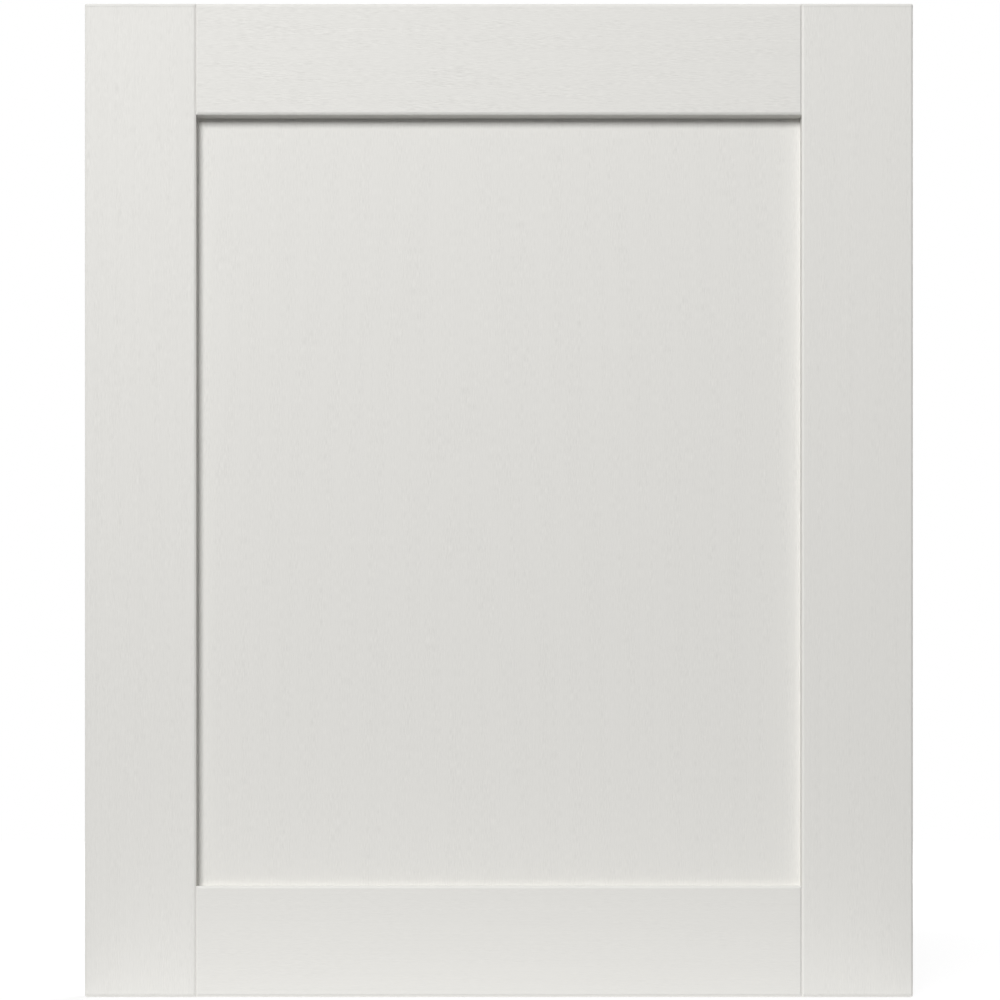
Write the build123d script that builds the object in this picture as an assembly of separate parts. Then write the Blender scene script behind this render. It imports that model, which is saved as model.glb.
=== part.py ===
from build123d import *
from math import radians, tan
import os

# Five-piece shaker door for a kitchen cabinet 600 mm wide and 720 mm high.
# Two stiles and two rails of wrapped fibreboard frame a flat panel that sits in a groove.
# Each rail end has a tongue in the stile's groove and two fluted dowels beyond it.
# A thin edging strip closes the cut end of each stile.
# The door hangs on two concealed hinges, whose cups sit in the back of the hinge stile.
#
# Frame of reference: the origin is the mouth of the upper hinge cup, on the door's back face.
# +X runs from the hinge stile to the closing stile, +Y out of the back, and +Z up.
# All sizes are in millimetres.

# Driving dimensions of the door and its frame
door_width = 596.0
door_height = 715.0
frame_thickness = 22.0
stile_width = 80.0
rail_width = 80.0

# Edges of the wrapped stock: a gentle slope that ends in a small nose at the side
edge_angle = 22.0
stile_slope_width = 1.5
rail_slope_width = 2.2
inner_slope_width = 1.6
nose_radius = 0.5
corner_radius = 1.5

# The rail's half of the small V where it meets a stile
joint_slope_width = 1.4
joint_slope_depth = 0.8

# Panel, and the groove that holds it
panel_setback = 9.0
panel_thickness = 9.0
groove_depth = 10.0
groove_play = 0.2
panel_edge_gap = 1.0

# Tongue on each rail end, which shares the panel's groove
tongue_end_gap = 0.5
tongue_root = 1.0
tongue_edging_gap = 0.3

# Edging strips on the stiles' cut ends
edging_thickness = 2.0
edging_slope_width = 1.4

# Fluted dowels, two in each corner joint
dowel_diameter = 6.0
dowel_length = 30.0
dowel_play = 0.05
dowel_end_gap = 0.8
dowel_end_chamfer = 0.7
dowel_spacing = 32.0
flute_count = 8
flute_depth = 0.3

# Hinge cups and the pilot holes of their screws
cup_diameter = 35.0
cup_depth = 13.0
cup_edge_distance = 22.5
cup_end_distance = 100.0
centre_mark_diameter = 3.0
centre_mark_depth = 1.2
pilot_diameter = 2.5
pilot_depth = 10.0
pilot_tip_height = 0.75
pilot_spacing = 48.0
pilot_offset = 6.0

# Planes of the door that follow from those sizes
left = -cup_edge_distance
right = left + door_width
top = cup_end_distance
bottom = top - door_height
front = -frame_thickness
back = 0.0
centre_x = (left + right) / 2
centre_z = (top + bottom) / 2

# Where the left-hand joint, the groove and the dowels lie
joint_x = left + stile_width
groove_floor_x = joint_x - groove_depth
dowel_in_stile = dowel_length / 2
panel_front = front + panel_setback
panel_back = panel_front + panel_thickness
groove_width = panel_thickness + groove_play
tongue_middle = (panel_front + panel_back) / 2
edge_fall = tan(radians(edge_angle))

middle_of_width = Plane.YZ.offset(centre_x)
middle_of_height = Plane.XY.offset(centre_z)


def box_between(low, high):
    """A box from its lowest corner to its highest."""
    size = [h - l for l, h in zip(low, high)]
    return Pos(*low) * Box(*size, align=(Align.MIN, Align.MIN, Align.MIN))


def bore(start, direction, diameter, depth):
    """A round cutter that starts at a point and runs along a direction."""
    circle = Plane(origin=start, z_dir=direction) * Circle(diameter / 2)
    return extrude(circle, depth)


def frame_stock(plane, width, length, outer_slope_width):
    """Wrapped stock from its outer edge, at the plane's origin, to its inner edge.

    The plane's x runs across the width, its y from front to back, and the length along its z.
    """
    outer_fall = outer_slope_width * edge_fall
    inner_fall = inner_slope_width * edge_fall
    back_points = [
        (0, -outer_fall),
        (outer_slope_width, 0),
        (width - inner_slope_width, 0),
        (width, -inner_fall),
    ]
    front_points = [(x, -frame_thickness - y) for x, y in reversed(back_points)]
    outline = make_face(Polyline(*back_points, *front_points, close=True))
    for side in (0, -1):
        outline = fillet(outline.vertices().group_by(Axis.X)[side], nose_radius)
    return extrude(plane * outline, length)


def panel_groove(plane, width, length):
    """The groove along the inner edge of that stock."""
    slot = Pos(width, panel_front) * Rectangle(
        groove_depth * 2, groove_width, align=(Align.CENTER, Align.MIN)
    )
    return extrude(plane * slot, length)


def dowel_heights():
    """Heights of the two dowels of the top joint, centred on the rail's solid part."""
    middle = top - (rail_width - groove_depth) / 2
    return [middle + dowel_spacing / 2, middle - dowel_spacing / 2]


def door_outline():
    """A block with the door's outline and eased corners, thicker than the door."""
    face = Pos(centre_x, centre_z) * RectangleRounded(door_width, door_height, corner_radius)
    return extrude(Plane.XZ * face, 2 * frame_thickness, both=True)


def stile():
    """The left stile: stock cut to length, grooved, bored for four dowels and eased at its corners."""
    length = door_height - 2 * edging_thickness
    foot = Plane(origin=(left, back, bottom + edging_thickness), x_dir=(1, 0, 0), z_dir=(0, 0, 1))
    body = frame_stock(foot, stile_width, length, stile_slope_width)
    body -= panel_groove(foot, stile_width, length)
    depth = dowel_in_stile + dowel_end_gap
    for height in dowel_heights():
        hole = bore(
            (groove_floor_x, tongue_middle, height), (-1, 0, 0), dowel_diameter + 2 * dowel_play, depth
        )
        body -= hole
        body -= mirror(hole, about=middle_of_height)
    return body & door_outline()


def blind_hole(mouth, diameter, depth, tip_diameter, tip_height):
    """A round hole into the door's back, with its drill's point in the middle of its floor."""
    point = Cone(tip_diameter / 2, 0, tip_height, align=(Align.CENTER, Align.CENTER, Align.MIN))
    floor = Plane(origin=(mouth[0], back - depth, mouth[1]), z_dir=(0, -1, 0))
    return bore((mouth[0], back, mouth[1]), (0, -1, 0), diameter, depth) + floor * point


def hinge_cup(height):
    """A hinge cup's hole, with the mark of its drill's point, and two pilot holes."""
    cutter = blind_hole(
        (0, height), cup_diameter, cup_depth, centre_mark_diameter, centre_mark_depth
    )
    for side in (1, -1):
        mouth = (pilot_offset, height + side * pilot_spacing / 2)
        cutter += blind_hole(mouth, pilot_diameter, pilot_depth, pilot_diameter, pilot_tip_height)
    return cutter


def joint_cutter(face):
    """A bar stood on its edge, which slopes the left end of the top rail down from one face."""
    corners = [
        (joint_x - joint_slope_width, face),
        (joint_x, face - joint_slope_depth),
        (joint_x + joint_slope_width, face),
        (joint_x, face + joint_slope_depth),
    ]
    section = make_face(Polyline(*corners, close=True))
    return extrude(Plane.XY.offset(top - rail_width) * section, rail_width)


def rail():
    """The top rail: stock with sloped ends, a groove below, and a tongue and two bores at each end."""
    length = door_width - 2 * stile_width
    end = Plane(origin=(joint_x, back, top), x_dir=(0, 0, -1), z_dir=(1, 0, 0))
    body = frame_stock(end, rail_width, length, rail_slope_width)
    for face in (front, back):
        cutter = joint_cutter(face)
        body -= cutter
        body -= mirror(cutter, about=middle_of_width)
    body -= panel_groove(end, rail_width, length)
    tongue_length = groove_depth - tongue_end_gap
    tongue = box_between(
        (joint_x - tongue_length, panel_front, top - rail_width + groove_depth),
        (joint_x + tongue_root, panel_back, top - edging_thickness - tongue_edging_gap),
    )
    rail_end = joint_x - tongue_length
    dowel_tip = groove_floor_x - dowel_in_stile + dowel_length
    for sided_tongue in (tongue, mirror(tongue, about=middle_of_width)):
        body += sided_tongue
    for height in dowel_heights():
        hole = bore(
            (rail_end, tongue_middle, height),
            (1, 0, 0),
            dowel_diameter + 2 * dowel_play,
            dowel_tip + dowel_end_gap - rail_end,
        )
        body -= hole
        body -= mirror(hole, about=middle_of_width)
    return body


def panel():
    """The flat panel, which reaches into the groove on all four sides."""
    reach = groove_depth - panel_edge_gap
    return box_between(
        (joint_x - reach, panel_front, bottom + rail_width - reach),
        (right - stile_width + reach, panel_back, top - rail_width + reach),
    )


def end_edging():
    """The strip on the left stile's top end, trimmed flush with it and sloped along both faces."""
    seat = Plane(origin=(left, back, top - edging_thickness), x_dir=(1, 0, 0), z_dir=(0, 0, 1))
    trimmed = frame_stock(seat, stile_width, edging_thickness, stile_slope_width)
    across = Plane(origin=(left, back, top), x_dir=(0, 0, -1), z_dir=(1, 0, 0))
    sloped = frame_stock(across, rail_width, stile_width, edging_slope_width)
    return trimmed & sloped & door_outline()


def dowel():
    """A dowel with chamfered ends and V-shaped flutes, lying along X from the origin."""
    pin = extrude(Plane.YZ * Circle(dowel_diameter / 2), dowel_length)
    pin = chamfer(pin.edges().filter_by(GeomType.CIRCLE), dowel_end_chamfer)
    notch = Rot(0, 0, 45) * Rectangle(2 * flute_depth, 2 * flute_depth)
    reach = dowel_diameter / 2 - flute_depth + flute_depth * 2**0.5
    flutes = Sketch() + PolarLocations(reach, flute_count) * notch
    return pin - extrude(Plane.YZ * flutes, dowel_length)


def opposite(shape):
    """The same shape in the diagonally opposite corner, turned half round about the door's middle."""
    return shape.rotate(Axis((centre_x, back, centre_z), (0, 1, 0)), 180)


def save(name, shape):
    """Writes one piece as its own STEP file, and prints its size."""
    shape.label = name
    export_step(shape, f"parts/{name}.step")
    size = shape.bounding_box().size
    print(f"{name}: {size.X:.1f} x {size.Y:.1f} x {size.Z:.1f} mm, {shape.volume / 1000:.1f} cm3")


os.makedirs("parts", exist_ok=True)

left_stile = stile()
cups = hinge_cup(0) + hinge_cup(bottom + cup_end_distance)
save("hinge_stile", left_stile - cups)
save("closing_stile", mirror(left_stile, about=middle_of_width))

top_rail = rail()
save("top_rail", top_rail)
save("bottom_rail", mirror(top_rail, about=middle_of_height))

save("centre_panel", panel())

edging = end_edging()
save("edging_hinge_stile_top", edging)
save("edging_hinge_stile_bottom", mirror(edging, about=middle_of_height))
save("edging_closing_stile_top", mirror(edging, about=middle_of_width))
save("edging_closing_stile_bottom", opposite(edging))

pin = dowel()
for row, height in zip(("outer", "inner"), dowel_heights()):
    placed = Pos(groove_floor_x - dowel_in_stile, tongue_middle, height) * pin
    save(f"dowel_top_hinge_{row}", placed)
    save(f"dowel_top_closing_{row}", mirror(placed, about=middle_of_width))
    save(f"dowel_bottom_hinge_{row}", mirror(placed, about=middle_of_height))
    save(f"dowel_bottom_closing_{row}", opposite(placed))
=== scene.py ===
# %% [markdown]
# # A shaker cabinet door
#
# The object is one kitchen cabinet door: two upright stiles, two rails between them, and a flat
# panel that sits back in the frame. Everything that shows is wrapped in a warm grey foil with a
# fine woodgrain pressed into it. The CAD model gives the sizes and the joints. This notebook gives
# the door its looks, in the same metres and the same place, so nothing has to be fitted by eye.

# %% Load the frame and measure it
import math
import bmesh
import bpy
from mathutils import Matrix, Vector


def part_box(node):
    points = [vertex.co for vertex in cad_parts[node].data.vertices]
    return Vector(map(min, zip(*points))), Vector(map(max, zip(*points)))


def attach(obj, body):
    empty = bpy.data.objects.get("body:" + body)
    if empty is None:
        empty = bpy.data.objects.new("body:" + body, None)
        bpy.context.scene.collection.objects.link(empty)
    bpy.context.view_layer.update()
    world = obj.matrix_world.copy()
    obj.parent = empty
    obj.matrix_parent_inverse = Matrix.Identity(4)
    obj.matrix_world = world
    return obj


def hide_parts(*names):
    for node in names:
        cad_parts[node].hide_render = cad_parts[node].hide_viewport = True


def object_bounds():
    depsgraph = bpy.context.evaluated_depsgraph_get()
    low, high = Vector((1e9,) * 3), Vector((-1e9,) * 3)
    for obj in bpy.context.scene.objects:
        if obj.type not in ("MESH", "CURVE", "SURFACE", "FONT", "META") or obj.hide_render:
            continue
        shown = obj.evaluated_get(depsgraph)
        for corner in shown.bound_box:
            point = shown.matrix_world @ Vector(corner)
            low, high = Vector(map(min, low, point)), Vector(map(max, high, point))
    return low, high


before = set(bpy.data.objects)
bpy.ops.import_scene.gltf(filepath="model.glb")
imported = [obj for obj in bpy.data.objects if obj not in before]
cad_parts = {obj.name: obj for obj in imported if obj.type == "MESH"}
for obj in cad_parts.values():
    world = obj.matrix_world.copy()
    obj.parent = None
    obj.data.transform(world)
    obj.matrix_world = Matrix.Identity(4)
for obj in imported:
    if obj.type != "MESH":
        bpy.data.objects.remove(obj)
mm = 0.001
cad_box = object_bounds()
door_size = (cad_box[1] - cad_box[0]) / mm
print(f"door: {door_size.x:.0f} x {door_size.y:.0f} x {door_size.z:.0f} mm")
print("solids:", ", ".join(sorted(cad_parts)))

# %% [markdown]
# ## Sizes
#
# The door's own planes come from the CAD boxes, so they can't drift from the model. The few sizes
# that a box doesn't give, such as those of the groove, are named here and beside the pieces that
# they belong to. They are the ones that a door maker would write on the drawing.

# %% Planes and sizes of the door
stile_low, stile_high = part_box("hinge_stile")
rail_low, rail_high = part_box("top_rail")
panel_low, panel_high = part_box("centre_panel")
strip_low, strip_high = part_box("edging_hinge_stile_top")
left, right = cad_box[0].x, cad_box[1].x
bottom, top = cad_box[0].z, cad_box[1].z
front, back = cad_box[0].y, cad_box[1].y
middle = Vector(((left + right) / 2, front, (bottom + top) / 2))

thickness = back - front
stile_width = stile_high.x - stile_low.x
stile_length = stile_high.z - stile_low.z
rail_width = rail_high.z - rail_low.z
rail_length = (right - left) - 2 * stile_width
strip_thickness = strip_high.z - strip_low.z
panel_thickness = panel_high.y - panel_low.y
groove_front = panel_low.y - front
groove_depth = 10 * mm
groove_play = 0.2 * mm
groove_width = panel_thickness + groove_play
widths = {"stile": stile_width, "rail": rail_width, "strip": strip_thickness, "groove": groove_width}
print(", ".join(f"{name} {width / mm:.1f} mm" for name, width in widths.items()))

# %% [markdown]
# ## Camera
#
# The photograph looks straight at the door, so its outline is a true rectangle with no slanting
# sides. Yet the upper reveal of the frame shows more than the lower one: the lens stood below the
# door's middle and was shifted up, as a product photographer does. Three edges of the door, read
# off the picture in pixels, fix the scale and the aim. The widths of the four reveals fix how near
# and how low the camera stood.

# %% Place the camera from three edges of the picture
picture_px = 1000
door_left_px = 84.7
door_right_px = 913.1
door_top_px = 3.4
px_per_metre = (door_right_px - door_left_px) / (right - left)
view_width = picture_px / px_per_metre
aim_x = left + (picture_px / 2 - door_left_px) / px_per_metre
aim_z = top - (picture_px / 2 - door_top_px) / px_per_metre
camera_distance = 1.5
camera_drop = 0.225

camera_data = bpy.data.cameras.new("camera")
camera_data.lens = camera_data.sensor_width * camera_distance / view_width
camera_data.shift_y = camera_drop / view_width
camera = bpy.data.objects.new("camera", camera_data)
camera.location = (aim_x, front - camera_distance, aim_z - camera_drop)
camera.rotation_euler = (math.radians(90), 0, 0)
bpy.context.scene.collection.objects.link(camera)
bpy.context.scene.camera = camera
print(f"scale {px_per_metre * mm:.3f} px per mm, lens {camera_data.lens:.0f} mm")

# %% [markdown]
# ## Light
#
# The shadow that the top rail throws on the panel is a little over half as wide as the recess is
# deep, and the one beside the left stile about a third. So the main lamp stands well above the
# camera and somewhat to its left. It is large, because both shadows have soft edges. A second lamp
# behind the door lights its back nearly as well, for the other views.
#
# A low strip of light in front of the door's foot stands for what a pale table throws back there:
# the photograph gets brighter over its lowest 90 mm. A very narrow strip under the front edge does
# the same for the slope there.

# %% Hang the lamps
def soft_lamp(name, place, aim, width, height, power):
    """A rectangular lamp at a place, facing a point."""
    data = bpy.data.lights.new(name, "AREA")
    data.shape = "RECTANGLE"
    data.size = width
    data.size_y = height
    data.energy = power
    lamp = bpy.data.objects.new(name, data)
    lamp.location = place
    lamp.rotation_euler = (Vector(aim) - Vector(place)).to_track_quat("-Z", "Y").to_euler()
    lamp.visible_camera = False
    bpy.context.scene.collection.objects.link(lamp)
    return lamp


def seen_at(up, across, distance):
    """A place at that distance from the door's face, by its slopes up and to the left of straight on."""
    slope = Vector((-math.tan(math.radians(across)), -1, math.tan(math.radians(up))))
    return middle + slope.normalized() * distance


key_up = 30.5
key_across = 18
key_distance = 5.3
key_side = 2.6
key_power = 277.0
key_place = seen_at(key_up, key_across, key_distance)
soft_lamp("key lamp", key_place, middle, key_side, key_side, key_power)

back_offset = Vector((2.4, 4.3, 2.4))
back_side = 3.0
back_power = 285.0
soft_lamp("back lamp", middle + back_offset, middle, back_side, back_side, back_power)

card_power = 0.112
card_depth = 130 * mm
toe_power = 0.0030
toe_depth = 1.6 * mm
toe_start = 1.0 * mm
glow_spare = 10 * mm
glow_length = (right - left) + 2 * glow_spare
above_floor = 0.1 * mm
glows = (("card glow", 0.0, card_depth, card_power), ("toe glow", toe_start, toe_depth, toe_power))
for name, start, depth, power in glows:
    place = Vector((middle.x, front + start - depth / 2, bottom + above_floor))
    soft_lamp(name, place, place + Vector((0, 0, 1)), glow_length, depth, power)

# %% [markdown]
# ## Node trees
#
# The world, the floor, the finishes and the wooden members are all node trees, written as code.
# Three helpers keep them short. One adds a node and feeds it, one does a sum, and one stretches a
# value from one range to another.

# %% Helpers for node trees
def add(tree, kind, feeds=None, **options):
    """Adds a node, sets its options, and feeds its inputs with values, outputs, or lists of those."""
    node = tree.nodes.new(kind)
    for option, value in options.items():
        setattr(node, option, value)
    for label, value in (feeds or {}).items():
        socket = node.inputs[label]
        for one in value if isinstance(value, list) else [value]:
            if isinstance(one, bpy.types.NodeSocket):
                tree.links.new(one, socket)
            else:
                socket.default_value = one
    return node


def math_node(tree, operation, *values):
    """One Math node, fed with numbers or outputs, and its output."""
    return add(tree, "ShaderNodeMath", dict(enumerate(values)), operation=operation).outputs[0]


def span(tree, value, low, high, to_low=0.0, to_high=1.0):
    """Stretches a value from one range to another, with soft ends."""
    feeds = {"Value": value, "From Min": low, "From Max": high, "To Min": to_low, "To Max": to_high}
    return add(tree, "ShaderNodeMapRange", feeds, interpolation_type="SMOOTHSTEP").outputs[0]


print("node helpers ready")

# %% [markdown]
# ## White ground
#
# The photograph's ground is pure white. It isn't made by more light on the door, which would wash
# the foil out. Light Path tells a ray from the camera, or one mirrored in the door, from the rays
# that light it. The first two see white, and the others see only a weak, even sky.

# %% A world that looks white and lights softly
world_strength = 0.13
world = bpy.data.worlds.new("white studio")
world.use_nodes = True
bpy.context.scene.world = world


def seen_ray(tree):
    """1 for a ray from the camera, or one mirrored or passed on by a surface, and 0 for any other."""
    path = add(tree, "ShaderNodeLightPath").outputs
    either = math_node(tree, "MAXIMUM", path["Is Camera Ray"], path["Is Glossy Ray"])
    return math_node(tree, "MAXIMUM", either, path["Is Transmission Ray"])


tree = world.node_tree
tree.nodes.clear()
white = (1, 1, 1, 1)
lit = add(tree, "ShaderNodeBackground", {"Color": white, "Strength": world_strength})
seen = add(tree, "ShaderNodeBackground", {"Color": white, "Strength": 1.0})
mixed = add(tree, "ShaderNodeMixShader", {0: seen_ray(tree), 1: lit.outputs[0], 2: seen.outputs[0]})
add(tree, "ShaderNodeOutputWorld", {"Surface": mixed.outputs[0]})
print(f"sky that lights: {world_strength}, sky that is seen: 1")

# %% [markdown]
# ## Floor
#
# The door stands on a plain pale floor. The floor glows a little less than white where the door
# stands, and the lamps' light makes up the rest, so the door's soft shadow stays. Farther off the
# glow rises to full white and the floor runs into the ground without an edge.

# %% A pale floor that keeps the shadow
floor_half = 8.0
glow_middle = (middle.x, 0.4, bottom)
glow_near = 0.5
glow_far = 2.5
glow_at_door = 0.78
tone_that_lights = 0.12
tone_that_is_seen = 0.26

floor_mesh = bpy.data.meshes.new("floor")
signs = ((-1, -1), (1, -1), (1, 1), (-1, 1))
corners = [(x * floor_half, y * floor_half, bottom) for x, y in signs]
floor_mesh.from_pydata(corners, [], [(0, 1, 2, 3)])
floor = bpy.data.objects.new("floor", floor_mesh)
bpy.context.scene.collection.objects.link(floor)

floor_paint = bpy.data.materials.new("pale floor")
floor_paint.use_nodes = True
tree = floor_paint.node_tree
tree.nodes.clear()
spot = add(tree, "ShaderNodeTexCoord").outputs["Object"]
far = add(tree, "ShaderNodeVectorMath", {0: spot, 1: glow_middle}, operation="DISTANCE").outputs["Value"]
glow = span(tree, far, glow_near, glow_far, glow_at_door, 1.0)
ray = seen_ray(tree)
shine = math_node(tree, "MULTIPLY", glow, ray)
emission = add(tree, "ShaderNodeEmission", {"Color": white, "Strength": shine})
tones = {"Value": ray, "To Min": tone_that_lights, "To Max": tone_that_is_seen}
tone = add(tree, "ShaderNodeMapRange", tones)
diffuse = add(tree, "ShaderNodeBsdfDiffuse", {"Color": tone.outputs[0]})
both = add(tree, "ShaderNodeAddShader", {0: emission.outputs[0], 1: diffuse.outputs[0]})
add(tree, "ShaderNodeOutputMaterial", {"Surface": both.outputs[0]})
floor_mesh.materials.append(floor_paint)
print(f"floor: {2 * floor_half:.0f} m square at the door's foot")

# %% [markdown]
# ## Foil
#
# The wrap is a matt plastic foil, light grey with a little yellow in it. Its woodgrain is pressed
# in, not printed: thousands of fine pores, a few tenths of a millimetre wide and some millimetres
# long, lie along each piece. They cluster in bands, as the growth rings of a plank do, and on the
# wide panel the bands close into tall arches. An image could carry this, but a noise stretched along
# the grain gives it at any size and needs no file.
#
# The noise is read in Object coordinates. Stiles and panel have their grain upright. The rails' is
# laid over by a Mapping node, which turns the pattern through a quarter turn. No two lengths of foil
# are pressed alike: on this door the bottom rail is the calmest, with under half the relief of the
# top one.

# %% The foil's grain
foil_colour = (0.734, 0.725, 0.695)
pore_size = (0.65 * mm, 6 * mm)
cluster_size = (6 * mm, 50 * mm)
band_size = (7 * mm, 350 * mm)
streak_size = (1.6 * mm, 250 * mm)
wander_size = (50 * mm, 300 * mm)
wander_reach = 50 * mm
common_values = (0.35, 0.65)
calm_share = 0.45
calm_band_share = 0.7
pore_contrast = 0.24
streak_contrast = 0.03
band_contrast = -0.004
pore_depth = 0.12 * mm
relief_range = (-0.2, 0.1)
foil_roughness = (0.72, 0.58)


def stretched_noise(tree, place, size, detail=2, roughness=0.5):
    """Noise whose spots are that wide and that long, in metres, with the length along Z."""
    across, along = size
    scale = (1 / across, 1 / across, 1 / along)
    mapped = add(tree, "ShaderNodeMapping", {"Vector": place, "Scale": scale}).outputs[0]
    feeds = {"Vector": mapped, "Scale": 1.0, "Detail": detail, "Roughness": roughness}
    return add(tree, "ShaderNodeTexNoise", feeds).outputs["Fac"]


def arched_bands(tree, where, place, centre, stretch, pitch):
    """Rings about a centre below the door, stretched upright, so that they cross it as tall arches."""
    offset = (-centre[0], 0, -centre[1] / stretch)
    feeds = {"Vector": where, "Scale": (1, 0, 1 / stretch), "Location": offset}
    rings = add(tree, "ShaderNodeMapping", feeds).outputs[0]
    radius = add(tree, "ShaderNodeVectorMath", {0: rings}, operation="LENGTH").outputs["Value"]
    wander = math_node(tree, "MULTIPLY", stretched_noise(tree, place, wander_size, 3), wander_reach)
    turns = math_node(tree, "DIVIDE", math_node(tree, "ADD", radius, wander), pitch)
    wave = math_node(tree, "SINE", math_node(tree, "MULTIPLY", turns, 2 * math.pi))
    return span(tree, wave, -1.0, 1.0)


def foil_grain(name, turn, shift, strength=1.0, arches=None):
    """A foil material. turn lays the grain over, shift moves it, and arches places its tall rings."""
    material = bpy.data.materials.new(name)
    material.use_nodes = True
    tree = material.node_tree
    shader = tree.nodes["Principled BSDF"]
    where = add(tree, "ShaderNodeTexCoord").outputs["Object"]
    feeds = {"Vector": where, "Rotation": turn, "Location": shift}
    place = add(tree, "ShaderNodeMapping", feeds).outputs[0]
    if arches:
        band = arched_bands(tree, where, place, *arches)
    else:
        band = span(tree, stretched_noise(tree, place, band_size), *common_values)
    clusters = stretched_noise(tree, place, cluster_size)
    crowd = span(tree, clusters, *common_values, calm_share * strength, strength)
    crowd = math_node(tree, "MULTIPLY", crowd, span(tree, band, 0.0, 1.0, calm_band_share, 1.0))
    fine = math_node(tree, "SUBTRACT", stretched_noise(tree, place, pore_size, roughness=0.6), 0.5)
    relief = math_node(tree, "MULTIPLY", fine, crowd)
    streak = math_node(tree, "SUBTRACT", stretched_noise(tree, place, streak_size), 0.5)
    shade = math_node(tree, "MULTIPLY_ADD", relief, pore_contrast, 1.0)
    shade = math_node(tree, "MULTIPLY_ADD", streak, streak_contrast, shade)
    shade = math_node(tree, "MULTIPLY_ADD", band, band_contrast, shade)
    feeds = {0: foil_colour, "Scale": shade}
    colour = add(tree, "ShaderNodeVectorMath", feeds, operation="SCALE").outputs[0]
    tree.links.new(colour, shader.inputs["Base Color"])
    tree.links.new(span(tree, relief, *relief_range, *foil_roughness), shader.inputs["Roughness"])
    bump = add(tree, "ShaderNodeBump", {"Height": relief, "Strength": 1.0, "Distance": pore_depth})
    tree.links.new(bump.outputs[0], shader.inputs["Normal"])
    return material


upright = (0, 0, 0)
laid_over = (0, math.radians(90), 0)
stile_foil = foil_grain("stile foil", upright, (0.31, 0.0, 0.12))
closing_stile_foil = foil_grain("closing stile foil", upright, (0.77, 0.0, 0.55), 0.88)
rail_foil = foil_grain("rail foil", laid_over, (0.57, 0.0, 0.43), 1.3)
bottom_rail_foil = foil_grain("bottom rail foil", laid_over, (0.21, 0.0, 0.83), 0.6)
arch_centre = (middle.x - 20 * mm, bottom - 100 * mm)
arch_stretch = 9.0
arch_pitch = 17 * mm
panel_arches = (arch_centre, arch_stretch, arch_pitch)
panel_foil = foil_grain("panel foil", upright, (0.0, 0.0, 0.0), 1.15, panel_arches)
print("foils:", ", ".join(m.name for m in bpy.data.materials if m.name.endswith("foil")))

# %% [markdown]
# ## Fibreboard, edging and beech
#
# Under the foil is medium-density fibreboard, brown and faintly speckled. It shows where a drill or
# a cutter went through the wrap: in the hinge cups, the groove and the dowel holes. The cut ends of
# the stiles are closed by strips of plastic edging in the foil's colour, trimmed with a fine cutter
# that leaves hair lines along them. The dowels are beech, with short dark flecks along the grain.

# %% Three plain finishes
rougher_in_spots = 0.15


def finish(name, colour, dark, spots, mark, roughness, dent):
    """A material whose colour goes to a darker one in spots of that size, and which is dented there.

    mark is the range of the noise over which it goes from the one to the other.
    """
    material = bpy.data.materials.new(name)
    material.use_nodes = True
    tree = material.node_tree
    shader = tree.nodes["Principled BSDF"]
    where = add(tree, "ShaderNodeTexCoord").outputs["Object"]
    scale = tuple(1 / spot for spot in spots)
    mapped = add(tree, "ShaderNodeMapping", {"Vector": where, "Scale": scale}).outputs[0]
    feeds = {"Vector": mapped, "Scale": 1.0, "Detail": 4.0}
    noise = add(tree, "ShaderNodeTexNoise", feeds).outputs["Fac"]
    spotted = span(tree, noise, *mark)
    feeds = {"Factor": spotted, 6: colour + (1,), 7: dark + (1,)}
    mixed = add(tree, "ShaderNodeMix", feeds, data_type="RGBA").outputs[2]
    tree.links.new(mixed, shader.inputs["Base Color"])
    rougher = min(1.0, roughness + rougher_in_spots)
    tree.links.new(span(tree, spotted, 0.0, 1.0, roughness, rougher), shader.inputs["Roughness"])
    feeds = {"Height": spotted, "Strength": 1.0, "Distance": dent}
    bump = add(tree, "ShaderNodeBump", feeds, invert=True)
    tree.links.new(bump.outputs[0], shader.inputs["Normal"])
    return material


fibreboard = finish(
    "fibreboard",
    colour=(0.46, 0.32, 0.19),
    dark=(0.30, 0.20, 0.115),
    spots=(0.6 * mm, 0.6 * mm, 0.6 * mm),
    mark=(0.45, 0.65),
    roughness=0.85,
    dent=0.06 * mm,
)
edging = finish(
    "edging strip",
    colour=(0.728, 0.721, 0.692),
    dark=(0.70, 0.693, 0.664),
    spots=(20 * mm, 0.4 * mm, 0.4 * mm),
    mark=(0.50, 0.70),
    roughness=0.6,
    dent=0.02 * mm,
)
beech = finish(
    "beech wood",
    colour=(0.62, 0.42, 0.26),
    dark=(0.42, 0.25, 0.14),
    spots=(3.5 * mm, 0.5 * mm, 0.5 * mm),
    mark=(0.58, 0.68),
    roughness=0.6,
    dent=0.03 * mm,
)
print("finishes:", fibreboard.name, edging.name, beech.name)

# %% [markdown]
# ## Frame stock
#
# Stiles and rails are cut from the same kind of stock: a long bar of fibreboard wrapped in foil, with
# a groove along its inner edge. Its edges aren't plain roundings. Each face slopes off gently over its
# last millimetre and a half, and only then turns down the side in a small nose. The photograph shows
# this as a thin, even line of light or shade along every edge.
#
# The shape follows a rule, one section pushed along a length, so Geometry Nodes is the natural tool:
# the tree below takes the sizes as named inputs and serves for all four members. Modelling each bar by
# hand would repeat the same work and could let two members differ.

# %% Helpers for geometry trees
def new_tree(name, sizes):
    """A Geometry Nodes tree with a named input for each size, and the outputs of its input node."""
    tree = bpy.data.node_groups.new(name, "GeometryNodeTree")
    tree.interface.new_socket("Geometry", in_out="OUTPUT", socket_type="NodeSocketGeometry")
    for label, value in sizes.items():
        kind = "NodeSocketInt" if isinstance(value, int) else "NodeSocketFloat"
        tree.interface.new_socket(label, in_out="INPUT", socket_type=kind).default_value = value
    return tree, tree.nodes.new("NodeGroupInput").outputs


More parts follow.
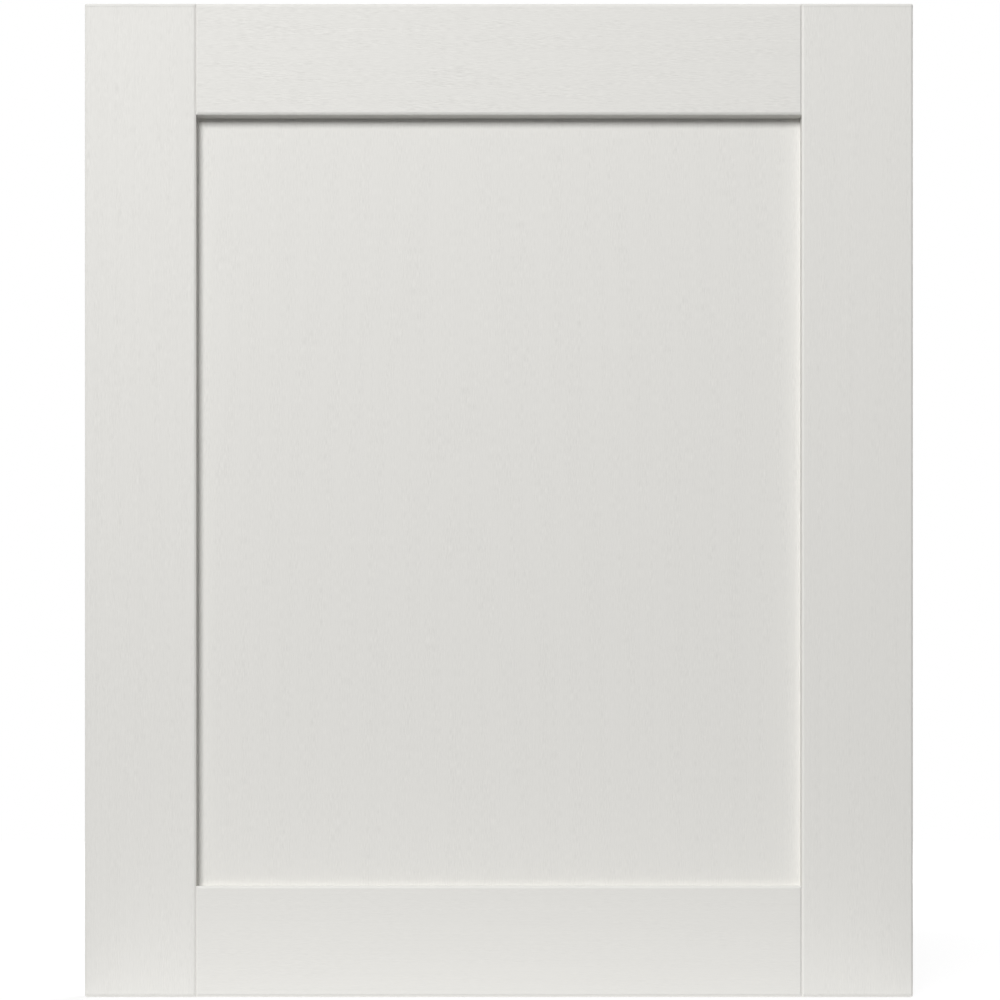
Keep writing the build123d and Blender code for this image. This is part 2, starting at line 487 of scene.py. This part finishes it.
def vector_math(tree, operation, *values):
    """One Vector Math node, fed with vectors or outputs, and its output."""
    return add(tree, "ShaderNodeVectorMath", dict(enumerate(values)), operation=operation).outputs[0]


def vector(tree, x=0.0, y=0.0, z=0.0):
    """A vector from numbers or node outputs."""
    return add(tree, "ShaderNodeCombineXYZ", {"X": x, "Y": y, "Z": z}).outputs[0]


def moved(tree, geometry, place, turn=(0, 0, 0)):
    """Geometry turned and then moved."""
    feeds = {"Geometry": geometry, "Translation": place, "Rotation": turn}
    return add(tree, "GeometryNodeTransform", feeds).outputs[0]


def painted(tree, geometry, material):
    """Geometry with one material all over."""
    return add(tree, "GeometryNodeSetMaterial", {"Geometry": geometry, "Material": material}).outputs[0]


def cut(tree, body, *cutters):
    """A body less some cutters, whose material the cuts keep."""
    feeds = {"Mesh 1": body, "Mesh 2": list(cutters)}
    return add(tree, "GeometryNodeMeshBoolean", feeds, operation="DIFFERENCE", solver="EXACT").outputs[0]


def union(tree, *bodies):
    """Several bodies as one."""
    feeds = {"Mesh 2": list(bodies)}
    return add(tree, "GeometryNodeMeshBoolean", feeds, operation="UNION", solver="EXACT").outputs[0]


def repeated(tree, points, shape):
    """A shape at each point, as plain mesh."""
    placed = add(tree, "GeometryNodeInstanceOnPoints", {"Points": points, "Instance": shape}).outputs[0]
    return add(tree, "GeometryNodeRealizeInstances", {"Geometry": placed}).outputs[0]


def row(tree, start, step, count=2):
    """Points in a straight row."""
    feeds = {"Count": count, "Start Location": start, "Offset": step}
    return add(tree, "GeometryNodeMeshLine", feeds).outputs[0]


def outward_by(tree, distance):
    """The outward direction that is stored on each point, times a distance."""
    feeds = {"Name": "outward"}
    outward = add(tree, "GeometryNodeInputNamedAttribute", feeds, data_type="FLOAT_VECTOR").outputs[0]
    return add(tree, "ShaderNodeVectorMath", {0: outward, "Scale": distance}, operation="SCALE").outputs[0]


def push(tree, mesh, face, distance, growth):
    """Extrudes a face along Z, then moves its rim outward."""
    feeds = {"Mesh": mesh, "Selection": face, "Offset": (0, 0, 1), "Offset Scale": distance}
    pushed = add(tree, "GeometryNodeExtrudeMesh", feeds | {"Individual": False}).outputs
    feeds = {"Geometry": pushed["Mesh"], "Selection": pushed["Top"], "Offset": outward_by(tree, growth)}
    return add(tree, "GeometryNodeSetPosition", feeds).outputs[0], pushed["Top"]


print("geometry helpers ready")

# %% [markdown]
# ### The section and its length
#
# The section lies in X and Y: X runs from the outer edge to the inner one, Y from the face to the back at
# zero. It starts as a rectangle. A fillet of one step cuts each corner off, the cut is made flatter by
# lifting its side point, and a second fillet rounds what is left into the nose. Which half of the section
# a point is in decides how wide its slope is.
#
# Each end is eased by a hair: the section starts a little inside its outline, and grows to it. The
# direction "outward" is stored on each point before the extrusion, which copies it along the bar.
#
# Three small distances help with this. A hair tells a point off a face from one on it, and a fifth of
# it is the most that two points may lie apart to be merged. The rim is the section's outermost
# millimetre: a point's outward direction runs from the core inside it. Every cutter has some spare
# past the face that it enters by, so that no two faces lie in one plane.

# %% A tree for the wrapped stock
edge_angle = 22
hair = 0.01 * mm
rim = 1.0 * mm
spare = 1.0 * mm
stock_sizes = {
    "Width": stile_width,
    "Thickness": thickness,
    "Length": stile_length,
    "Outer Slope": 1.5 * mm,
    "Inner Slope": 1.6 * mm,
    "Fall": math.tan(math.radians(edge_angle)),
    "Nose Radius": 0.5 * mm,
    "End Ease": 0.1 * mm,
    "Groove Front": groove_front,
    "Groove Width": groove_width,
    "Groove Depth": groove_depth,
    "Nose Steps": 4,
}


def stock_section(tree, size, half_thick):
    """The section as one face, with its middle at the origin."""
    feeds = {"Width": size["Width"], "Height": size["Thickness"]}
    outline = add(tree, "GeometryNodeCurvePrimitiveQuadrilateral", feeds).outputs[0]
    place = add(tree, "GeometryNodeInputPosition").outputs[0]
    part = add(tree, "ShaderNodeSeparateXYZ", {0: place}).outputs
    inner_half = math_node(tree, "GREATER_THAN", part["X"], 0.0)
    difference = math_node(tree, "SUBTRACT", size["Inner Slope"], size["Outer Slope"])
    slope = math_node(tree, "MULTIPLY_ADD", inner_half, difference, size["Outer Slope"])
    feeds = {"Curve": outline, "Count": 1, "Radius": slope}
    sloped = add(tree, "GeometryNodeFilletCurve", feeds, mode="POLY").outputs[0]
    on_face = math_node(tree, "SUBTRACT", half_thick, hair)
    on_side = math_node(tree, "LESS_THAN", math_node(tree, "ABSOLUTE", part["Y"]), on_face)
    rest = math_node(tree, "SUBTRACT", 1.0, size["Fall"])
    up_or_down = math_node(tree, "SIGN", part["Y"])
    lift = math_node(tree, "MULTIPLY", math_node(tree, "MULTIPLY", slope, rest), up_or_down)
    feeds = {"Geometry": sloped, "Selection": on_side, "Offset": vector(tree, y=lift)}
    flatter = add(tree, "GeometryNodeSetPosition", feeds).outputs[0]
    feeds = {"Curve": flatter, "Count": size["Nose Steps"], "Radius": size["Nose Radius"]}
    rounded = add(tree, "GeometryNodeFilletCurve", feeds, mode="POLY").outputs[0]
    return add(tree, "GeometryNodeFillCurve", {"Curve": rounded}, mode="NGONS").outputs[0]


def with_outward(tree, section, half_width, half_thick):
    """The section, with each point's direction out of a core that lies one rim inside it."""
    place = add(tree, "GeometryNodeInputPosition").outputs[0]
    core_x = math_node(tree, "SUBTRACT", half_width, rim)
    core_y = math_node(tree, "SUBTRACT", half_thick, rim)
    high = vector(tree, core_x, core_y)
    low = vector(tree, math_node(tree, "MULTIPLY", core_x, -1.0), math_node(tree, "MULTIPLY", core_y, -1.0))
    nearest = vector_math(tree, "MINIMUM", vector_math(tree, "MAXIMUM", place, low), high)
    spoke = vector_math(tree, "NORMALIZE", vector_math(tree, "SUBTRACT", place, nearest))
    feeds = {"Geometry": section, "Name": "outward", "Value": spoke}
    return add(tree, "GeometryNodeStoreNamedAttribute", feeds, data_type="FLOAT_VECTOR").outputs[0]


def stock_tree(name, foil):
    """Wrapped and grooved stock, in a section from its outer edge to its inner edge, and along Z."""
    tree, size = new_tree(name, stock_sizes)
    width, thick, length, ease = size["Width"], size["Thickness"], size["Length"], size["End Ease"]
    half_width = math_node(tree, "MULTIPLY", width, 0.5)
    half_thick = math_node(tree, "MULTIPLY", thick, 0.5)
    section = with_outward(tree, stock_section(tree, size, half_thick), half_width, half_thick)
    inset = math_node(tree, "MULTIPLY", ease, -1.0)
    feeds = {"Geometry": section, "Offset": outward_by(tree, inset)}
    start = add(tree, "GeometryNodeSetPosition", feeds).outputs[0]
    straight = math_node(tree, "MULTIPLY_ADD", ease, -2.0, length)
    bar, face = push(tree, start, True, ease, ease)
    bar, face = push(tree, bar, face, straight, 0.0)
    bar, face = push(tree, bar, face, ease, inset)
    closing = add(tree, "GeometryNodeFlipFaces", {"Mesh": start}).outputs[0]
    bar = add(tree, "GeometryNodeJoinGeometry", {"Geometry": [bar, closing]}).outputs[0]
    bar = add(tree, "GeometryNodeMergeByDistance", {"Geometry": bar, "Distance": hair / 5}).outputs[0]
    bar = add(tree, "GeometryNodeRemoveAttribute", {"Geometry": bar, "Name": "outward"}).outputs[0]
    back_half = math_node(tree, "MULTIPLY", half_thick, -1.0)
    bar = painted(tree, moved(tree, bar, vector(tree, half_width, back_half)), foil)

    groove_size = vector(
        tree,
        math_node(tree, "MULTIPLY", size["Groove Depth"], 2.0),
        size["Groove Width"],
        math_node(tree, "ADD", length, 10 * spare),
    )
    cutter = add(tree, "GeometryNodeMeshCube", {"Size": groove_size}).outputs[0]
    face_to_middle = math_node(tree, "MULTIPLY_ADD", size["Groove Width"], 0.5, size["Groove Front"])
    groove_y = math_node(tree, "SUBTRACT", face_to_middle, thick)
    groove_z = math_node(tree, "MULTIPLY", length, 0.5)
    cutter = painted(tree, moved(tree, cutter, vector(tree, width, groove_y, groove_z)), fibreboard)
    add(tree, "NodeGroupOutput", {0: cut(tree, bar, cutter)})
    return tree


stile_stock = stock_tree("stile stock", stile_foil)
rail_stock = stock_tree("rail stock", rail_foil)
print("stock inputs:", ", ".join(stock_sizes))

# %% [markdown]
# ### From tree to piece
#
# A tree runs as a modifier. The mesh is then moved to its place on the door, while the object stays at
# the origin. A mirrored place turns a mesh inside out, so its faces are flipped back. Weighted normals
# keep the broad faces flat beside the narrow slopes.

# %% Turn a tree into a finished piece
same_point = 0.0005 * mm
cm3 = 1e-6


def volume_of(mesh):
    """The volume of a closed mesh, in cubic centimetres, and how many of its edges aren't closed."""
    probe = bmesh.new()
    probe.from_mesh(mesh)
    bmesh.ops.remove_doubles(probe, verts=probe.verts, dist=same_point)
    volume = probe.calc_volume(signed=True) / cm3
    open_edges = sum(not edge.is_manifold for edge in probe.edges)
    probe.free()
    return volume, open_edges


def smooth(piece, angle=30):
    """Smooth shading with sharp corners, weighted so that broad faces stay flat."""
    piece.data.shade_smooth()
    piece.data.set_sharp_from_angle(angle=math.radians(angle))
    weights = piece.modifiers.new("weighted normals", "WEIGHTED_NORMAL")
    weights.keep_sharp = True


def make_piece(name, tree, values, place):
    """Runs a tree, moves the result to its place, and returns it as a plain object."""
    piece = bpy.data.objects.new(name, bpy.data.meshes.new(name))
    bpy.context.scene.collection.objects.link(piece)
    modifier = piece.modifiers.new(tree.name, "NODES")
    modifier.node_group = tree
    for item in tree.interface.items_tree:
        if item.in_out == "INPUT" and item.name in values:
            modifier[item.identifier] = values[item.name]
    bpy.context.view_layer.update()
    shown = piece.evaluated_get(bpy.context.evaluated_depsgraph_get())
    mesh = bpy.data.meshes.new_from_object(shown)
    piece.modifiers.remove(modifier)
    piece.data = mesh
    mesh.name = name
    mesh.transform(place)
    if place.determinant() < 0:
        mesh.flip_normals()
    smooth(piece)
    return piece


def placed(x_axis, z_axis, origin):
    """The matrix that takes stock to the door: where its X and Z point, and where its corner lies."""
    turn = Matrix((x_axis, (0, 1, 0), z_axis)).transposed().to_4x4()
    return Matrix.Translation(origin) @ turn


def recoat(piece, old, new):
    """Puts one material where another was."""
    coats = piece.data.materials
    coats[coats.find(old.name)] = new


def stand_in(piece, node):
    """Puts a piece on the door's body in place of the CAD node that it replaces, hides that node, and
    prints how their volumes compare.
    """
    ours, open_edges = volume_of(piece.data)
    cads, _ = volume_of(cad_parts[node].data)
    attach(piece, "root")
    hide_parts(node)
    faces = len(piece.data.polygons)
    print(f"{piece.name}: {ours:.1f} cm3, CAD {cads:.1f} cm3, {open_edges} open edges, {faces} faces")


print("ready to make pieces")

# %% [markdown]
# ## Stiles
#
# Each stile is stock with a pair of dowel holes at either end. The holes start in the groove, where the
# rail's tongue goes in. Two rows of two points carry a cylinder each, and one Boolean cuts all four. The
# ends are eased by a hair, which gives the fine line seen beside the edging strip.

# %% A tree for the plain stile
bore_diameter = 6.1 * mm
bore_spacing = 32 * mm
bore_sides = 32
dowel_length = 30 * mm
dowel_end_gap = 0.8 * mm
bore_sizes = {
    "Bore Diameter": bore_diameter,
    "Bore Depth": dowel_length / 2 + dowel_end_gap,
    "Bore Spacing": bore_spacing,
    "Bore Row": (rail_width - groove_depth) / 2 - strip_thickness,
}
along_x = (0, math.radians(90), 0)


def group_of(tree, inner, size):
    """Another tree used as one node, with its inputs fed by the same names."""
    node = add(tree, "GeometryNodeGroup", None, node_tree=inner)
    for socket in node.inputs:
        tree.links.new(size[socket.name], socket)
    return node.outputs[0]


def cylinder(tree, diameter, length, sides):
    """A cylinder along Z with its middle at the origin."""
    feeds = {"Vertices": sides, "Radius": math_node(tree, "MULTIPLY", diameter, 0.5), "Depth": length}
    return add(tree, "GeometryNodeMeshCylinder", feeds).outputs[0]


def stile_tree():
    """Stile stock with its four dowel holes, in the middle of the rail's tongue."""
    tree, size = new_tree("stile", stock_sizes | bore_sizes)
    body = group_of(tree, stile_stock, size)
    spacing, edge = size["Bore Spacing"], size["Bore Row"]
    pair = row(tree, vector(tree, z=math_node(tree, "MULTIPLY", spacing, -0.5)), vector(tree, z=spacing))
    floor_x = math_node(tree, "SUBTRACT", size["Width"], size["Groove Depth"])
    groove_middle = math_node(tree, "MULTIPLY_ADD", size["Groove Width"], 0.5, size["Groove Front"])
    tongue_middle = math_node(tree, "SUBTRACT", groove_middle, groove_play / 2)
    bore_y = math_node(tree, "SUBTRACT", tongue_middle, size["Thickness"])
    between = math_node(tree, "MULTIPLY_ADD", edge, -2.0, size["Length"])
    rows = row(tree, vector(tree, floor_x, bore_y, edge), vector(tree, z=between))
    long = math_node(tree, "ADD", size["Bore Depth"], 2 * spare)
    bit = cylinder(tree, size["Bore Diameter"], long, bore_sides)
    reach = math_node(tree, "MULTIPLY_ADD", size["Bore Depth"], -0.5, spare)
    bit = painted(tree, moved(tree, bit, vector(tree, reach), along_x), fibreboard)
    body = cut(tree, body, repeated(tree, repeated(tree, rows, pair), bit))
    add(tree, "NodeGroupOutput", {0: body})
    return tree


plain_stile = stile_tree()
stile_values = {"Length": stile_length, "End Ease": 0.18 * mm}
to_closing_side = placed((-1, 0, 0), (0, 0, 1), (right, back, stile_low.z))
closing_stile = make_piece("closing_stile_wrapped", plain_stile, stile_values, to_closing_side)
recoat(closing_stile, stile_foil, closing_stile_foil)
stand_in(closing_stile, "closing_stile")

# %% [markdown]
# ### Hinge cups
#
# The hinge stile is the same bar with two cups bored in its back for concealed hinges, each with two
# small pilot holes for its screws. A cup's cutter leaves the mark of its centre point in the floor. The
# drill is a small tree of its own, a cylinder with a cone at its end, used once for the cups and
# once for the pilots.

# %% Trees for the drill and the hinge stile
cup_sides = 96
pilot_sides = 20
cup_spacing = 515 * mm
cup_sizes = {
    "Cup Diameter": 35 * mm,
    "Cup Depth": 13 * mm,
    "Mark Diameter": 3 * mm,
    "Mark Height": 1.2 * mm,
    "Cup Inset": 22.5 * mm,
    "Cup Start": -stile_low.z - cup_spacing,
    "Cup Spacing": cup_spacing,
    "Pilot Diameter": 2.5 * mm,
    "Pilot Depth": 10 * mm,
    "Pilot Tip": 0.75 * mm,
    "Pilot Spacing": 48 * mm,
    "Pilot Offset": 6 * mm,
}
drill_sizes = {
    "Diameter": cup_sizes["Cup Diameter"],
    "Depth": cup_sizes["Cup Depth"],
    "Tip Diameter": cup_sizes["Mark Diameter"],
    "Tip Height": cup_sizes["Mark Height"],
    "Sides": cup_sides,
}
along_y = (math.radians(90), 0, 0)


def drill_tree():
    """A drill that points along -Y from its mouth at zero, with a little to spare above it."""
    tree, size = new_tree("drill", drill_sizes)
    long = math_node(tree, "ADD", size["Depth"], spare)
    shank = cylinder(tree, size["Diameter"], long, size["Sides"])
    drop = math_node(tree, "MULTIPLY_ADD", size["Depth"], -0.5, spare / 2)
    shank = moved(tree, shank, vector(tree, y=drop), along_y)
    tip_radius = math_node(tree, "MULTIPLY", size["Tip Diameter"], 0.5)
    feeds = {
        "Vertices": size["Sides"],
        "Radius Top": 0.0,
        "Radius Bottom": tip_radius,
        "Depth": size["Tip Height"],
    }
    tip = add(tree, "GeometryNodeMeshCone", feeds).outputs[0]
    tip = moved(tree, tip, vector(tree, y=math_node(tree, "MULTIPLY", size["Depth"], -1.0)), along_y)
    add(tree, "NodeGroupOutput", {0: painted(tree, union(tree, shank, tip), fibreboard)})
    return tree


drill = drill_tree()


def use_drill(tree, diameter, depth, tip, height, sides):
    """The drill as a node, fed with its sizes, and its mesh."""
    node = add(tree, "GeometryNodeGroup", None, node_tree=drill)
    for label, value in zip(drill_sizes, (diameter, depth, tip, height, sides)):
        if isinstance(value, bpy.types.NodeSocket):
            tree.links.new(value, node.inputs[label])
        else:
            node.inputs[label].default_value = value
    return node.outputs[0]


def hinge_stile_tree():
    """The stile with its two hinge cups and four pilot holes."""
    tree, size = new_tree("hinge stile", stock_sizes | bore_sizes | cup_sizes)
    body = group_of(tree, plain_stile, size)
    first_cup = vector(tree, size["Cup Inset"], 0.0, size["Cup Start"])
    cups = row(tree, first_cup, vector(tree, z=size["Cup Spacing"]))
    mark, mark_height = size["Mark Diameter"], size["Mark Height"]
    cup = use_drill(tree, size["Cup Diameter"], size["Cup Depth"], mark, mark_height, cup_sides)
    pilot = size["Pilot Diameter"]
    bit = use_drill(tree, pilot, size["Pilot Depth"], pilot, size["Pilot Tip"], pilot_sides)
    half = math_node(tree, "MULTIPLY", size["Pilot Spacing"], -0.5)
    pair = row(tree, vector(tree, size["Pilot Offset"], 0.0, half), vector(tree, z=size["Pilot Spacing"]))
    body = cut(tree, body, repeated(tree, cups, cup), repeated(tree, repeated(tree, cups, pair), bit))
    add(tree, "NodeGroupOutput", {0: body})
    return tree


to_hinge_side = placed((1, 0, 0), (0, 0, 1), (left, back, stile_low.z))
hinge_stile = make_piece("hinge_stile_wrapped", hinge_stile_tree(), stile_values, to_hinge_side)
stand_in(hinge_stile, "hinge_stile")

# %% [markdown]
# ## Rails
#
# A rail is the same stock, cut to the width between the stiles. Each end slopes off too, front and back,
# and meets the stile's slope in a shallow V. One cutter makes all four slopes: a square bar stood on its
# edge and flattened, set at each end of each face. A tongue of bare fibreboard stands out of each end and
# fills the stile's groove behind the joint. Dowel holes run through each tongue into the rail.

# %% A tree for the rails
tongue_end_gap = 0.5 * mm
tongue_strip_gap = 0.3 * mm
tongue_sizes = {
    "Tongue Reach": groove_depth - tongue_end_gap,
    "Tongue Root": 1.0 * mm,
    "Tongue Start": strip_thickness + tongue_strip_gap,
    "Tongue Thickness": panel_thickness,
}
rail_bore_sizes = {
    "Bore Diameter": bore_diameter,
    "Bore Floor": dowel_length / 2 - groove_depth + dowel_end_gap,
    "Bore Spacing": bore_spacing,
}
joint_sizes = {"Joint Slope": 1.4 * mm, "Joint Depth": 0.8 * mm}


def joint_slopes(tree, size):
    """A flattened diamond bar along X at each end of each face, in the foil that runs round the slope."""
    half_high = math_node(tree, "ADD", size["Joint Depth"], spare)
    steepness = math_node(tree, "DIVIDE", size["Joint Slope"], size["Joint Depth"])
    half_long = math_node(tree, "MULTIPLY", half_high, steepness)
    long = math_node(tree, "MULTIPLY", size["Width"], 1.5)
    bar = add(tree, "GeometryNodeMeshCylinder", {"Vertices": 4, "Radius": 1.0, "Depth": 1.0}).outputs[0]
    bar = moved(tree, bar, (0, 0, 0), along_x)
    feeds = {"Geometry": bar, "Scale": vector(tree, long, half_high, half_long)}
    bar = add(tree, "GeometryNodeTransform", feeds).outputs[0]
    middle_x = math_node(tree, "MULTIPLY", size["Width"], 0.5)
    to_front = math_node(tree, "SUBTRACT", -2 * spare, size["Thickness"])
    to_far_end = math_node(tree, "ADD", size["Length"], 2 * hair)
    faces = row(tree, vector(tree, middle_x, spare, -hair), vector(tree, y=to_front))
    ends = row(tree, vector(tree), vector(tree, z=to_far_end))
    return painted(tree, repeated(tree, repeated(tree, ends, faces), bar), rail_foil)


def rail_tree():
    """Rail stock with a tongue and two dowel holes at each end."""
    tree, size = new_tree("rail", stock_sizes | tongue_sizes | rail_bore_sizes | joint_sizes)
    body = cut(tree, group_of(tree, rail_stock, size), joint_slopes(tree, size))
    reach, root, thick = size["Tongue Reach"], size["Tongue Root"], size["Tongue Thickness"]
    start = size["Tongue Start"]
    end = math_node(tree, "SUBTRACT", size["Width"], size["Groove Depth"])
    wide = math_node(tree, "SUBTRACT", end, start)
    long = math_node(tree, "ADD", reach, root)
    block = add(tree, "GeometryNodeMeshCube", {"Size": vector(tree, wide, thick, long)}).outputs[0]
    middle_x = math_node(tree, "MULTIPLY", math_node(tree, "ADD", start, end), 0.5)
    face_y = math_node(tree, "SUBTRACT", size["Groove Front"], size["Thickness"])
    middle_y = math_node(tree, "MULTIPLY_ADD", thick, 0.5, face_y)
    first_z = math_node(tree, "MULTIPLY", math_node(tree, "SUBTRACT", root, reach), 0.5)
    apart = math_node(tree, "MULTIPLY_ADD", first_z, -2.0, size["Length"])
    ends = row(tree, vector(tree, middle_x, middle_y, first_z), vector(tree, z=apart))
    tongues = painted(tree, repeated(tree, ends, block), fibreboard)
    body = union(tree, body, tongues)

    through = math_node(tree, "ADD", size["Bore Floor"], math_node(tree, "ADD", reach, spare))
    bit = cylinder(tree, size["Bore Diameter"], through, bore_sides)
    centre_z = math_node(tree, "MULTIPLY_ADD", through, -0.5, size["Bore Floor"])
    between = math_node(tree, "MULTIPLY_ADD", centre_z, -2.0, size["Length"])
    across = math_node(tree, "MULTIPLY", end, 0.5)
    spacing = size["Bore Spacing"]
    pair = row(tree, vector(tree, math_node(tree, "MULTIPLY", spacing, -0.5)), vector(tree, spacing))
    rows = row(tree, vector(tree, across, middle_y, centre_z), vector(tree, z=between))
    holes = repeated(tree, repeated(tree, rows, pair), painted(tree, bit, fibreboard))
    add(tree, "NodeGroupOutput", {0: cut(tree, body, holes)})
    return tree


rail_values = {"Width": rail_width, "Length": rail_length, "Outer Slope": 2.2 * mm}
rails = rail_tree()
joint_x = left + stile_width
top_place = placed((0, 0, -1), (1, 0, 0), (joint_x, back, top))
bottom_place = placed((0, 0, 1), (1, 0, 0), (joint_x, back, bottom))
rail_coats = (
    ("top_rail", top_place, rail_foil),
    ("bottom_rail", bottom_place, bottom_rail_foil),
)
for name, place, foil in rail_coats:
    piece = make_piece(name + "_wrapped", rails, rail_values, place)
    recoat(piece, rail_foil, foil)
    stand_in(piece, name)

# %% [markdown]
# ## Panel
#
# The panel is a flat board, foiled on both faces and sawn at its edges, which stand in the groove. It is
# one block, so a few lines of mesh code are plainer than a tree. Its arrises are taken off by a
# third of a millimetre, so that it can be pushed into the groove.

# %% The foiled panel
arris = 0.3 * mm
broad_area = 0.1
panel_mesh = bpy.data.meshes.new("centre_panel_foiled")
board = bmesh.new()
bmesh.ops.create_cube(board, size=1.0)
to_panel = Matrix.LocRotScale((panel_high + panel_low) / 2, None, panel_high - panel_low)
bmesh.ops.transform(board, verts=board.verts, matrix=to_panel)
bmesh.ops.bevel(board, geom=board.edges[:], offset=arris, segments=2, profile=0.5, affect="EDGES")
for face in board.faces:
    face.material_index = 0 if face.calc_area() > broad_area else 1
board.to_mesh(panel_mesh)
board.free()
panel_mesh.materials.append(panel_foil)
panel_mesh.materials.append(fibreboard)
panel = bpy.data.objects.new("centre_panel_foiled", panel_mesh)
bpy.context.scene.collection.objects.link(panel)
smooth(panel)
stand_in(panel, "centre_panel")

# %% [markdown]
# ## Edging strips and dowels
#
# These CAD solids already have the right shape, with sloped long edges on the strips and flutes on the
# dowels, so they stay and only get their finishes.

# %% Finish the small CAD solids
for name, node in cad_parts.items():
    coat = edging if name.startswith("edging") else beech if name.startswith("dowel") else None
    if coat:
        node.data.materials.clear()
        node.data.materials.append(coat)
        print(name, "in", coat.name)

# %% [markdown]
# ## Finish
#
# Colours are shown as they are written, with no film look. The door's box from the CAD model, measured
# before dressing, is printed again at the end, because the looks must not change its size.

# %% Write the sizes and close the notebook
bpy.context.scene.view_settings.view_transform = "Standard"
print("CAD box:", [round(v / mm, 2) for corner in cad_box for v in corner])
